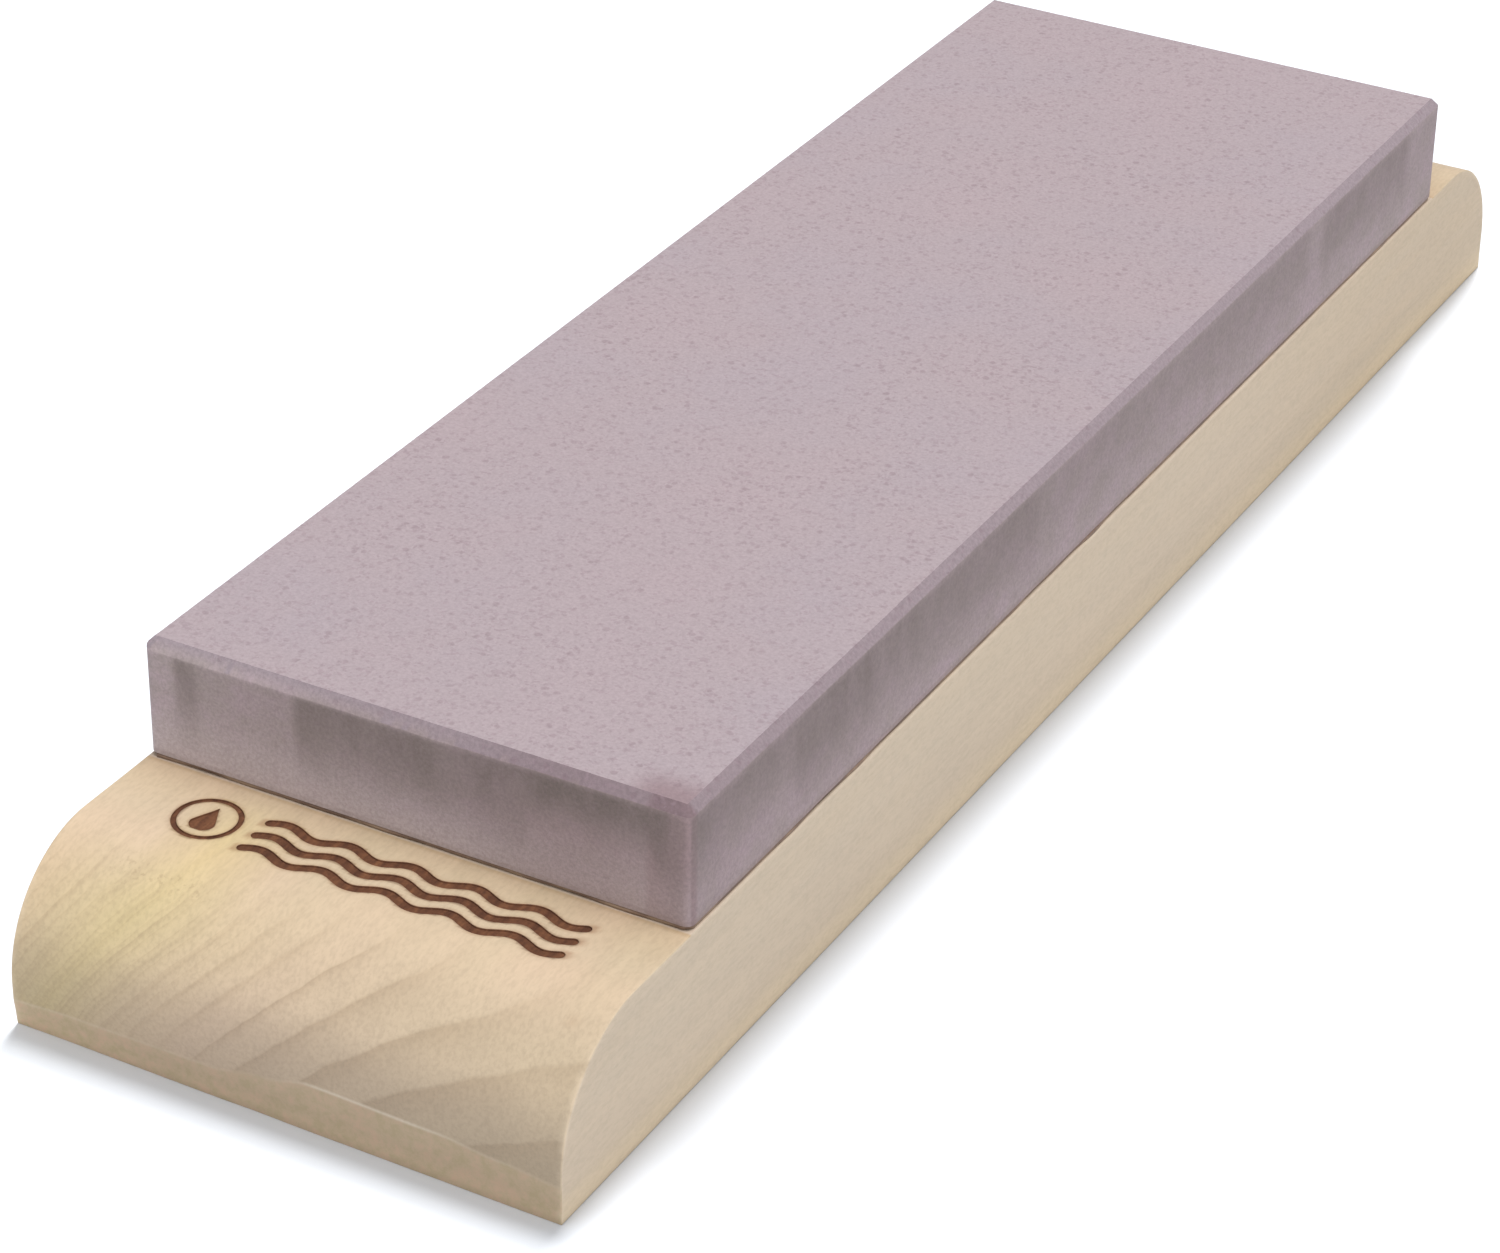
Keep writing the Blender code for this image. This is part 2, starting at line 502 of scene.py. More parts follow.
def worn_wood(graph, colour, pore):
    """Return the colour with painted highlights on worn arrises and ridge, a scorched mark rim, torn
    specks.
    """
    broken = graph.rise(graph.noise(420.0, detail=2.0), 0.38, 0.60, 0.35, 1.0)
    # The arrises: lighter from wear with a painted highlight on it, broken up by noise
    worn = graph.times(graph.attribute("worn"), broken)
    colour = graph.mix(graph.times(worn, 0.28), colour, tone(214, 196, 172))
    # The ridge: a painted highlight with some burnish, dimmed in the pores
    burnish_and_highlight = graph.times(graph.attribute("ridge"), graph.rise(pore, 0.2, 0.7, 0.75, 1.0))
    colour = graph.mix(graph.times(burnish_and_highlight, 0.66), colour, tone(194, 182, 166))
    colour = graph.mix(graph.times(graph.attribute("scorch"), 0.45), colour, tone(122, 78, 46))
    torn = graph.times(graph.attribute("torn"), graph.rise(graph.noise(1700.0), 0.55, 0.66))
    return graph.mix(graph.times(torn, 0.22), colour, tone(116, 92, 66))


def make_wood():
    """Return pale close-grained wood: rings and pores on the end grain, faint streaks along the length."""
    graph = Graph("pale_wood")
    share, late, fine = wood_rings(graph)
    endness = graph.rise(graph.math("ABSOLUTE", graph.normal()[1]), 0.0, 0.72)
    colour = graph.mix(endness, long_grain(graph, share, late), end_grain(graph, share, late, fine))

    # Fibres, pores and mottling
    fibre = graph.noise((1500.0, 45.0, 1500.0), detail=3.0, roughness=0.6)
    pore = graph.noise((2400.0, 900.0, 2400.0), detail=2.0, roughness=0.6)
    mottle = graph.noise((240.0, 40.0, 240.0), detail=3.0, roughness=0.6)
    shade = graph.rise(fibre, 0.25, 0.75, 0.965, 1.025)
    pore_dark = graph.rise(endness, 0.0, 1.0, 0.95, 0.93)
    shade = graph.times(shade, graph.rise(pore, 0.30, 0.62, pore_dark, 1.03))
    shade = graph.times(shade, graph.rise(mottle, 0.3, 0.7, 0.975, 1.02))
    colour = sawn_land(graph, graph.shade(colour, shade))
    colour = worn_wood(graph, shaded_grimy_shelf(graph, colour), pore)
    relief = graph.math("ADD", graph.times(fibre, 0.6), graph.times(pore, 0.4))
    roughness = graph.rise(mottle, 0.3, 0.7, 0.60, 0.72)
    return graph.finish(colour, roughness, graph.bump(relief, 0.010 * MILLI), 0.30)


def make_burn():
    """Return burned wood: dark brown, with lighter worn spots on the floor of the cut."""
    graph = Graph("burned_wood")
    grain = graph.noise((1100.0, 160.0, 1100.0), detail=3.0, roughness=0.6)
    speck = graph.noise(2600.0, detail=2.0)
    colour = graph.ramp(
        grain, [(0.30, tone(74, 44, 29)), (0.50, tone(90, 56, 37)), (0.72, tone(110, 72, 48))]
    )
    colour = graph.shade(colour, graph.rise(speck, 0.3, 0.7, 0.86, 1.10))
    roughness = graph.rise(grain, 0.3, 0.7, 0.70, 0.85)
    return graph.finish(colour, roughness, graph.bump(speck, 0.05 * MILLI), 0.25)


def stone_face_colour(graph):
    """Return the working face's colour: near-even lilac, rubbed darker by its front right corner."""
    cloud = graph.noise(38.0, detail=3.0, roughness=0.55)
    colour = graph.ramp(
        cloud, [(0.32, tone(153, 141, 146)), (0.50, tone(154, 141, 145)), (0.68, tone(155, 141, 145))]
    )
    return graph.mix(graph.attribute("rubbed"), colour, tone(135, 117, 121))


def stone_side_colour(graph, tint):
    """Return the sides' colour: mauve, with painted light low down, most in front, and dark where slurry
    has dried.
    """
    cloud = graph.noise((150.0, 150.0, 260.0), detail=5.0, roughness=0.7)
    colour = graph.ramp(
        cloud, [(0.32, tone(152, 140, 138)), (0.50, tone(158, 144, 145)), (0.68, tone(164, 147, 152))]
    )
    colour = graph.mix(graph.times(tint, 0.8), colour, tone(134, 113, 115))
    height = graph.minus(graph.split(graph.place)[2], STONE_LOW.z)
    frontness = graph.rise(graph.normal()[1], -0.8, -0.4, 1.0, 0.0)
    # The flanks are darker, less so low down, where the rise towards their foot is painted light
    flank = graph.rise(height, 0.0, PAINTED_LIGHT_HEIGHT, 0.96, 0.87)
    colour = graph.shade(colour, graph.rise(frontness, 0.0, 1.0, flank, 1.0))
    # Painted light low down on the front: a pale tone that fades out upwards, less where tinted
    painted_light_low = graph.rise(height, 0.0, PAINTED_LIGHT_HEIGHT, 0.75, 0.0)
    painted_light_low = graph.times(painted_light_low, graph.rise(tint, 0.15, 1.0, 1.0, 0.4))
    colour = graph.mix(graph.times(painted_light_low, frontness), colour, tone(184, 171, 172))
    # Painted shade: a dark band at the stone's foot, where it sits on the wood, stronger on the flanks
    foot = graph.rise(frontness, 0.0, 1.0, 0.30, 0.16)
    foot = graph.rise(height, FOOT_BAND * 0.6, FOOT_BAND, foot, 0.0)
    colour = graph.mix(foot, colour, tone(124, 104, 94))
    streak = graph.noise((260.0, 260.0, 130.0), detail=3.0, roughness=0.65)
    stain = graph.times(graph.attribute("stain"), graph.rise(streak, 0.30, 0.70, 0.82, 1.14))
    return graph.mix(stain, colour, tone(109, 98, 95))


def make_ceramic():
    """Return fine bonded abrasive: speckled lilac working face, greyer stained sides."""
    graph = Graph("bonded_abrasive")
    upness = graph.rise(graph.normal()[2], 0.80, 0.98)
    slope = graph.rise(graph.normal()[2], 0.40, 0.60)
    tint = graph.attribute("tint")
    chamfer_colour = graph.mix(tint, tone(140, 128, 133), tone(113, 96, 100))
    colour = graph.mix(slope, stone_side_colour(graph, tint), chamfer_colour)
    colour = graph.mix(upness, colour, stone_face_colour(graph))

    # Grain: fine sparkle everywhere, with mauve and brown specks
    fine = graph.noise(2300.0, detail=2.0, roughness=0.7)
    fine_shade = graph.rise(fine, 0.25, 0.75, graph.rise(upness, 0.0, 1.0, 0.86, 0.92), 1.08)
    crowd = graph.rise(graph.noise(70.0, detail=2.0), 0.35, 0.65, 0.75, 1.0)
    crowd = graph.times(crowd, graph.rise(slope, 0.0, 1.0, 0.35, 1.0))
    speck = graph.noise(1400.0, detail=2.0, roughness=0.5)
    speck_mask = graph.times(graph.rise(speck, 0.555, 0.66, 0.0, 0.36), crowd)
    distance, cell = graph.cells(640.0)
    wobble = graph.math("ADD", distance, graph.rise(speck, 0.3, 0.7, -0.12, 0.12))
    chosen = graph.rise(graph.split(cell)[0], 0.36, 0.44)
    dot = graph.times(graph.rise(wobble, 0.10, 0.34, 0.36, 0.0), graph.times(chosen, crowd))
    colour = graph.mix(speck_mask, colour, tone(130, 112, 119))
    colour = graph.shade(graph.mix(dot, colour, tone(116, 96, 103)), fine_shade)
    pits = graph.minus(graph.times(fine, 0.7), dot)
    roughness = graph.rise(fine, 0.3, 0.7, 0.80, 0.92)
    return graph.finish(colour, roughness, graph.bump(pits, 0.05 * MILLI), 0.20)


def make_glue():
    """Return the dried brown glue that shows as a thin line."""
    graph = Graph("dried_glue")
    patch = graph.noise(260.0, detail=3.0)
    colour = graph.ramp(
        patch, [(0.34, tone(102, 80, 66)), (0.52, tone(121, 98, 82)), (0.66, tone(140, 118, 98))]
    )
    fine = graph.noise(2200.0, detail=2.0)
    roughness = graph.rise(patch, 0.3, 0.7, 0.45, 0.70)
    return graph.finish(colour, roughness, graph.bump(fine, 0.05 * MILLI), 0.40)


def make_floor_material():
    """Return the floor's plain white."""
    graph = Graph("floor_white")
    shader = graph.shader
    shader.inputs["Base Color"].default_value = (0.845, 0.88, 0.935, 1.0)
    shader.inputs["Roughness"].default_value = 0.9
    shader.inputs["Specular IOR Level"].default_value = 0.0
    return graph.material


def new_piece(name, vertices, faces, materials):
    """Return an object with this mesh, linked to the scene."""
    mesh = bpy.data.meshes.new(name)
    mesh.from_pydata(vertices, [], faces)
    mesh.update()
    for material in materials:
        mesh.materials.append(material)
    piece = bpy.data.objects.new(name, mesh)
    bpy.context.scene.collection.objects.link(piece)
    return piece


def close_shell(piece, sharp_angle):
    """Merge doubled vertices, point the faces outward and shade rounds smooth."""
    shell = bmesh.new()
    shell.from_mesh(piece.data)
    bmesh.ops.remove_doubles(shell, verts=shell.verts, dist=0.002 * MILLI)
    bmesh.ops.recalc_face_normals(shell, faces=shell.faces)
    if shell.calc_volume(signed=True) < 0.0:
        bmesh.ops.reverse_faces(shell, faces=shell.faces)
    shell.to_mesh(piece.data)
    shell.free()
    piece.data.polygons.foreach_set("use_smooth", [True] * len(piece.data.polygons))
    piece.data.set_sharp_from_angle(angle=math.radians(sharp_angle))


def add_values(piece, **rules):
    """Store each rule(position) at every vertex, under the rule's keyword, for the material to read."""
    for name, rule in rules.items():
        values = piece.data.attributes.new(name, "FLOAT", "POINT")
        values.data.foreach_set("value", [rule(vertex.co) for vertex in piece.data.vertices])


def band(start, end, count):
    """Return the quads between two closed rings of count vertices, numbered from start and from end."""
    return [(start + k, start + (k + 1) % count, end + (k + 1) % count, end + k) for k in range(count)]


def stand_for(piece, node):
    """Hide the CAD node that the piece stands for, and let the piece ride on the root body."""
    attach(piece, "root")
    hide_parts(node)


def end_section(ridge, lean):
    """Return (reach, height) points up one end of the base, from the underside to the flat top.

    reach is measured outward from the nominal end plane, so that it is negative on the round.
    """
    top = BASE_HIGH.z
    centre_z = top - ROUND_RADIUS
    lift = max(0.0, ridge - centre_z)
    start = math.asin(lift / ROUND_RADIUS)
    edge = -ROUND_RADIUS * (1.0 - math.cos(start))
    points = []
    foot = edge - lean * (ridge - FOOT_ARRIS)
    for k in range(ARRIS_STEPS):
        angle = math.radians(-90.0 + 90.0 * k / ARRIS_STEPS)
        reach = foot - FOOT_ARRIS + FOOT_ARRIS * math.cos(angle)
        points.append((reach, FOOT_ARRIS + FOOT_ARRIS * math.sin(angle)))
    for k in range(LAND_STEPS + 1):
        height = FOOT_ARRIS + (ridge - RIDGE_EDGE - FOOT_ARRIS) * k / LAND_STEPS
        points.append((edge - lean * (ridge - height), height))
    points.append((edge, ridge))
    straight = max(0.0, centre_z - ridge)
    arc = ROUND_RADIUS * (math.pi / 2.0 - start)
    for k in range(ROUND_STEPS + 1):
        travel = RIDGE_EDGE + (straight + arc - RIDGE_EDGE) * k / ROUND_STEPS
        if travel < straight:
            points.append((edge, ridge + travel))
        else:
            angle = start + (travel - straight) / ROUND_RADIUS
            reach = -ROUND_RADIUS * (1.0 - math.cos(angle))
            points.append((reach, centre_z + ROUND_RADIUS * math.sin(angle)))
    return points


def base_section(x):
    """Return the closed (y, z) outline of the base at x."""
    across = x / MILLI
    lean = along(LAND_LEAN, across)
    front = end_section(along(FRONT_RIDGE, across) * MILLI, lean)
    rear = end_section(along(REAR_RIDGE, across) * MILLI, 0.0)
    outline = [(BASE_LOW.y - reach, height) for reach, height in front]
    front_top = BASE_LOW.y + ROUND_RADIUS
    rear_top = BASE_HIGH.y - ROUND_RADIUS
    flat = steps_between(front_top, UNDER_STONE, GRAIN_STEP)[1:]
    flat += steps_between(UNDER_STONE, rear_top, COARSE_STEP)[1:-1]
    outline += [(y, BASE_HIGH.z) for y in flat]
    outline += [(BASE_HIGH.y + reach, height) for reach, height in reversed(rear)]
    bottom_front, bottom_rear = outline[0][0], outline[-1][0]
    outline += [(y, BASE_LOW.z) for y in steps_between(bottom_rear, bottom_front, COARSE_STEP * 2.0)[1:-1]]
    return outline


def inset_outline(outline, depth):
    """Move each point of a closed (y, z) outline inward by its own depth."""
    count = len(outline)
    moved = []
    for k, (y, z) in enumerate(outline):
        before, after = outline[k - 1], outline[(k + 1) % count]
        run = Vector((after[0] - before[0], after[1] - before[1])).normalized()
        moved.append((y + run.y * depth[k], z - run.x * depth[k]))
    return moved


def arris_width(side, y, z):
    """Return the local width of the base's long arrises, unevenly eased by sanding."""
    wave = noise.noise(Vector((side * 7.0, y * 110.0, z * 160.0)))
    high = smoothstep(z, 0.5 * MILLI, 2.0 * MILLI)
    return FOOT_ARRIS + (ARRIS * (1.0 + ARRIS_WEAR * wave) - FOOT_ARRIS) * high


def foot_y(outline, corner_y):
    """Return the y of the point of an outline that is nearest to a lower corner of the base."""
    return min(outline, key=lambda point: point[1] + abs(point[0] - corner_y))[0]


def base_rows():
    """Return rows of vertices across the base: its left arris, its middle and its right arris."""
    half = BASE_HIGH.x
    quarter = [math.radians(90.0 * k / ARRIS_STEPS) for k in range(ARRIS_STEPS + 1)]
    stations = [(-1, -half, angle) for angle in reversed(quarter)]
    stations += [(0, x, 0.0) for x in steps_between(-half + 2.0 * ARRIS, half - 2.0 * ARRIS, GRAIN_STEP)]
    stations += [(1, half, angle) for angle in quarter]
    rows = []
    for side, x, angle in stations:
        outline = base_section(x)
        row = [(x, y, z) for y, z in outline]
        if side:
            widths = [arris_width(side, y, z) for y, z in outline]
            moved = inset_outline(outline, [width * (1.0 - math.cos(angle)) for width in widths])
            across = [side * (half - width + width * math.sin(angle)) for width in widths]
            row = [(x, y, z) for x, (y, z) in zip(across, moved)]
        rows.append(row)
    return rows


def side_ring(side):
    """Return a ring of vertices on a long side, just inside its rim and clear of its foot."""
    outline = base_section(side * BASE_HIGH.x)
    depth = [arris_width(side, y, z) + SIDE_MARGIN for y, z in outline]
    first, last = foot_y(outline, BASE_LOW.y) + FOOT_MARGIN, foot_y(outline, BASE_HIGH.y) - FOOT_MARGIN
    ring = []
    for (y, z), (_, outline_z) in zip(inset_outline(outline, depth), outline):
        if outline_z < FOOT_ZONE:
            y = min(max(y, first), last)
            z = max(z, FOOT_ARRIS + SIDE_MARGIN)
        ring.append((side * BASE_HIGH.x, y, z))
    return ring


def make_base(wood, burn):
    """Make the wooden base as a loft across its width, with the mark cut into it."""
    rows = base_rows()
    count = len(rows[0])
    vertices = [vertex for row in rows for vertex in row]
    faces = []
    for k in range(len(rows) - 1):
        faces += band(k * count, (k + 1) * count, count)
    for side, k in ((-1, 0), (1, len(rows) - 1)):
        inner = len(vertices)
        vertices += side_ring(side)
        faces += band(k * count, inner, count)
        faces.append(tuple(range(inner, inner + count)))
    base = new_piece("bench_base", vertices, faces, [wood, burn])
    close_shell(base, 38.0)
    cut_mark(base)
    add_values(base, worn=arris_wear_and_highlight, ridge=ridge_highlight_and_burnish, torn=torn_at, sawn=base_sawn, scorch=scorch_at)
    stand_for(base, "wooden_base")


def rim_depth(place):
    """Return how far a place on the long side is from the top and the rounds."""
    beyond = abs(place.y) - (BASE_HIGH.y - ROUND_RADIUS)
    centre_z = BASE_HIGH.z - ROUND_RADIUS
    if beyond <= 0.0:
        return BASE_HIGH.z - place.z
    if place.z < centre_z:
        return BASE_HIGH.y - abs(place.y)
    return ROUND_RADIUS - Vector((beyond, place.z - centre_z)).length


def arris_wear_and_highlight(place):
    """Return the base's burnish and painted highlight: 1 on its long arrises where they run round the ends.
    """
    arris = smoothstep(abs(place.x), *WEAR_HIGHLIGHT_ACROSS)
    if abs(place.x) > SIDE_FACE:
        arris = 1.0 - smoothstep(rim_depth(place), *WEAR_HIGHLIGHT_DEPTH)
    return arris * smoothstep(place.z, *WEAR_HIGHLIGHT_HEIGHT) * smoothstep(abs(place.y), *WEAR_HIGHLIGHT_LENGTH)


def ridge_near(place):
    """Return the height of the ridge at a place on an end of the base, or None elsewhere."""
    if abs(place.y) < END_ZONE or abs(place.x) > SIDE_FACE:
        return None
    return along(FRONT_RIDGE if place.y < 0.0 else REAR_RIDGE, place.x / MILLI) * MILLI


def ridge_highlight_and_burnish(place):
    """Return the burnish and painted highlight on the ridge between round and land; most right of the
    middle in front.
    """
    ridge = ridge_near(place)
    if ridge is None:
        return 0.0
    line = 1.0 - smoothstep(abs(place.z - ridge), SHINE_CORE, RIDGE_EDGE)
    return line * (along(FRONT_SHINE, place.x / MILLI) if place.y < 0.0 else REAR_SHINE)


def torn_at(place):
    """Return how torn the grain is here, on a patch of the front round."""
    reach = (BASE_LOW.y + ROUND_RADIUS - place.y) / ROUND_RADIUS
    if not 0.0 < reach < 1.0:
        return 0.0
    arc = math.asin(reach) * ROUND_RADIUS / MILLI
    across = smoothstep(place.x / MILLI, *TORN_START) - smoothstep(place.x / MILLI, *TORN_END)
    return across * math.exp(-(((arc - TORN_ARC) / TORN_WIDTH) ** 2))


def base_sawn(place):
    """Return 1 on the flat lands below the ridges, and 0 elsewhere."""
    ridge = ridge_near(place)
    if ridge is None:
        return 0.0
    return 1.0 - smoothstep(place.z, ridge - SAWN_BELOW, ridge + SAWN_ABOVE)


def ring_rungs():
    """Return (left, right) point pairs round the ring of the mark."""
    inner, outer = RING_RADIUS - RING_STROKE / 2.0, RING_RADIUS + RING_STROKE / 2.0
    rungs = []
    for k in range(RING_STEPS):
        angle = math.tau * k / RING_STEPS
        direction = Vector((math.cos(angle), math.sin(angle)))
        rungs.append((RING_CENTRE + direction * inner, RING_CENTRE + direction * outer))
    return rungs


def drop_half_width(share):
    """Return the drop's half width at a share of its length, from its round foot to its tip."""
    body = DROP_WIDTH / DROP_LENGTH / 2.0
    if share < body:
        return DROP_WIDTH / 2.0 * math.sqrt(max(0.0, 1.0 - ((body - share) / body) ** 2))
    taper = (1.0 - share) / (1.0 - body)
    return DROP_WIDTH / 2.0 * taper ** DROP_TAPER * (1.0 + DROP_BULGE * (1.0 - taper) * taper)


def drop_rungs():
    """Return (left, right) point pairs up the drop."""
    rungs = []
    for k in range(1, DROP_STEPS):
        share = k / DROP_STEPS
        across = Vector((max(SURFACE_TOLERANCE, drop_half_width(share)), 0.0))
        middle = RING_CENTRE + Vector((0.0, DROP_LENGTH * (share - 0.5)))
        rungs.append((middle - across, middle + across))
    return rungs


def wave_height(x, row):
    """Return the y of one wave's middle line at x."""
    turn = math.tau * WAVE_PERIODS * (x - WAVE_START_X) / (WAVE_END_X - WAVE_START_X)
    return MARK_CENTRE_Y + WAVE_PITCH * row + WAVE_HEIGHT * math.sin(turn)


def cap_rungs(point, outward, across):
    """Return (left, right) point pairs over a wave's round end, from its tip to the point before it."""
    rungs = []
    for k in range(CAP_STEPS):
        angle = math.radians(CAP_START + (90.0 - CAP_START) * k / CAP_STEPS)
        centre = point + outward * math.cos(angle)
        rungs.append((centre + across * math.sin(angle), centre - across * math.sin(angle)))
    return rungs


def wave_rungs(row):
    """Return (left, right) point pairs along one wave, with round ends."""
    half = WAVE_STROKE / 2.0
    places = steps_between(WAVE_START_X, WAVE_END_X, (WAVE_END_X - WAVE_START_X) / WAVE_STEPS)
    middle = [Vector((x, wave_height(x, row))) for x in places]
    rungs = []
    for k, point in enumerate(middle):
        run = (middle[min(WAVE_STEPS, k + 1)] - middle[max(0, k - 1)]).normalized() * half
        across = Vector((-run.y, run.x))
        if k == 0:
            rungs += cap_rungs(point, -run, across)
        rungs.append((point + across, point - across))
        if k == WAVE_STEPS:
            rungs += reversed(cap_rungs(point, run, across))
    return rungs


def add_stroke(vertices, faces, rungs, closed):
    """Add a closed solid to vertices and faces: a ladder of rungs, raised through the wood's surface."""
    first = len(vertices)
    low, high = BASE_HIGH.z - MARK_DEPTH, BASE_HIGH.z + MARK_CLEAR
    for left, right in rungs:
        vertices.extend(((*left, low), (*right, low), (*right, high), (*left, high)))
    count = len(rungs)
    for k in range(count if closed else count - 1):
        faces += band(first + 4 * k, first + 4 * ((k + 1) % count), 4)
    if not closed:
        last = first + 4 * (count - 1)
        faces.append((first + 3, first + 2, first + 1, first))
        faces.append((last, last + 1, last + 2, last + 3))


def cut_mark(base):
    """Cut the strokes of the mark into the flat top of the base and paint the cut as burned."""
    vertices, faces = [], []
    add_stroke(vertices, faces, ring_rungs(), closed=True)
    add_stroke(vertices, faces, drop_rungs(), closed=False)
    for row in WAVE_ROWS:
        add_stroke(vertices, faces, wave_rungs(row), closed=False)
    cutter = new_piece("mark_cutter", vertices, faces, [])
    close_shell(cutter, 30.0)
    cut = base.modifiers.new("mark", "BOOLEAN")
    cut.operation = "DIFFERENCE"
    cut.solver = "EXACT"
    cut.object = cutter
    evaluated = base.evaluated_get(bpy.context.evaluated_depsgraph_get())
    carved = bpy.data.meshes.new_from_object(evaluated)
    base.modifiers.clear()
    base.data = carved
    bpy.data.objects.remove(cutter, do_unlink=True)
    for face in carved.polygons:
        depth = BASE_HIGH.z - face.center.z
        on_shelf = abs(face.center.x) < MARK_HALF_LENGTH and face.center.y < STONE_LOW.y
        in_mark = face.center.y > BASE_LOW.y + ROUND_RADIUS
        face.material_index = int(on_shelf and in_mark and SURFACE_TOLERANCE < depth < 2.0 * MARK_DEPTH)


WAVE_SAMPLES = [(left + right) / 2.0 for row in WAVE_ROWS for left, right in wave_rungs(row)]


def scorch_at(place):
    """Return how scorched the wood's surface is here, from its distance to the strokes of the mark."""
    if place.y < BASE_LOW.y + ROUND_RADIUS:
        gap = (place - SPOT_PLACE).length
        return SPOT_STRENGTH * math.exp(-((gap / SPOT_REACH) ** 2))
    if place.z < BASE_HIGH.z - SURFACE_TOLERANCE or abs(place.y - MARK_CENTRE_Y) > MARK_HALF_WIDTH:
        return 0.0
    if abs(place.x) > MARK_HALF_LENGTH:
        return 0.0
    here = place.xy
    if here.x < (RING_CENTRE.x + RING_RADIUS + WAVE_START_X) / 2.0:
        gap = abs((here - RING_CENTRE).length - RING_RADIUS) - RING_STROKE / 2.0
        share = (here.y - MARK_CENTRE_Y) / DROP_LENGTH + 0.5
        if 0.0 < share < 1.0:
            gap = min(gap, abs(here.x - RING_CENTRE.x) - drop_half_width(share))
    else:
        gap = min((here - sample).length for sample in WAVE_SAMPLES) - WAVE_STROKE / 2.0
    return math.exp(-max(0.0, gap) / SCORCH_REACH)


def stone_shares(axis):
    """Return the places of vertices, from 0 to 1, along the stone's width (axis 0) or length (axis 1)."""
    return steps_between(0.0, 1.0, STONE_STEP / (STONE_HIGH[axis] - STONE_LOW[axis]))


def stone_outline(inset, corner, jitter):
    """Return the (x, y) points round the stone, anticlockwise from its left front corner.

    inset moves them all inward, corner is the radius of the upright corners, and jitter nibbles the edges.
    """
    low = STONE_LOW.xy + Vector((inset, inset))
    high = STONE_HIGH.xy - Vector((inset, inset))
    corners = (low, Vector((high.x, low.y)), high, Vector((low.x, high.y)))
    points = []
    for side in range(4):
        start, end = corners[side], corners[(side + 1) % 4]
        run = (end - start).normalized()
        inward = Vector((-run.y, run.x))
        start, end = start + run * corner, end - run * corner
        for share in stone_shares(side % 2):
            point = start + (end - start) * share
            points.append(point + inward * jitter(side, point[side % 2]))
        for k in range(1, CORNER_STEPS):
            angle = math.radians(90.0 * (side - 1) + 90.0 * k / CORNER_STEPS)
            points.append(end + (inward + Vector((math.cos(angle), math.sin(angle)))) * corner)
    return points


def edge_jitter(level):
    """Return a rule for how far an edge line of the stone is nibbled back at a place along it."""

    def jitter(side, place):
        fine = noise.noise(Vector((place * EDGE_GRAIN, side * 11.0, level * 17.0)))
        coarse = noise.noise(Vector((place * CHIP_GRAIN, side * 5.0 + 40.0, level * 3.0)))
        chip = max(0.0, coarse - CHIP_START) / (1.0 - CHIP_START)
        return EDGE_ROUGHNESS * (1.0 + fine) + CHIP_DEPTH * chip

    return jitter


def no_jitter(side, place):
    """Return nothing: a flat face has no nibbled edge."""
    return 0.0


def front_drop(x, y):
    """Return how much lower the chamfer reaches here than elsewhere, which it does only in front."""
    in_front = 1.0 - smoothstep(y, *FRONT_EDGE)
    return in_front * along(FRONT_DROP, x / MILLI) * MILLI


def add_working_face(vertices, faces, edge):
    """Add the working face, a grid, and the chamfers from its rim to the ring of vertices from edge on."""
    span_x, span_y = stone_shares(0), stone_shares(1)
    low = STONE_LOW.xy + Vector((STONE_CHAMFER, STONE_CHAMFER))
    size = STONE_HIGH.xy - Vector((STONE_CHAMFER, STONE_CHAMFER)) - low
    grid = [[low.x + size.x * across, low.y + size.y * up] for up in span_y for across in span_x]
    columns, wide, far = len(span_x), len(span_x) - 1, len(span_y) - 1
    sides = (
        [(i, 0) for i in range(wide + 1)],
        [(wide, j) for j in range(far + 1)],
        [(wide - i, far) for i in range(wide + 1)],
        [(0, far - j) for j in range(far + 1)],
    )
    rim = [j * columns + i for side in sides for i, j in side + side[-1:] * (CORNER_STEPS - 1)]
    for index, point in zip(rim, stone_outline(STONE_CHAMFER, 0.0, edge_jitter(2))):
        grid[index] = point
    first = len(vertices)
    vertices.extend((x, y, STONE_HIGH.z) for x, y in grid)
    for j in range(far):
        for i in range(wide):
            corner = first + j * columns + i
            faces.append((corner, corner + 1, corner + columns + 1, corner + columns))
    for k in range(len(rim)):
        after = (k + 1) % len(rim)
        faces.append((edge + k, edge + after, first + rim[after], first + rim[k]))


def make_stone(ceramic):
    """Make the abrasive block: chamfered, with slightly nibbled edges and a gridded working face."""
    rim = STONE_HIGH.z - STONE_CHAMFER
    levels = [(STONE_LOW.z, STONE_FOOT, no_jitter)]
    for z in steps_between(STONE_LOW.z + STONE_FOOT, rim - RIM_GAP, STONE_STEP):
        levels.append((z, 0.0, no_jitter))
    levels.append((rim, 0.0, edge_jitter(1)))
    vertices = []
    for k, (z, inset, jitter) in enumerate(levels):
        by_rim = k >= len(levels) - 2
        for x, y in stone_outline(inset, STONE_CHAMFER, jitter):
            vertices.append((x, y, z - front_drop(x, y) if by_rim else z))
    count = len(vertices) // len(levels)
    faces = []
    for k in range(len(levels) - 1):
        faces += band(k * count, (k + 1) * count, count)
    faces.append(tuple(range(count)))
    add_working_face(vertices, faces, (len(levels) - 1) * count)
    stone = new_piece("honing_stone", vertices, clean_faces(faces), [ceramic])
    close_shell(stone, 25.0)
    add_values(stone, stain=stain_at, rubbed=rubbed_at, tint=tint_at)
    stand_for(stone, "sharpening_stone")


def clean_faces(faces):
    """Drop repeated corners, and faces that are left with fewer than three."""
    cleaned = [tuple(dict.fromkeys(face)) for face in faces]
    return [face for face in cleaned if len(face) > 2]


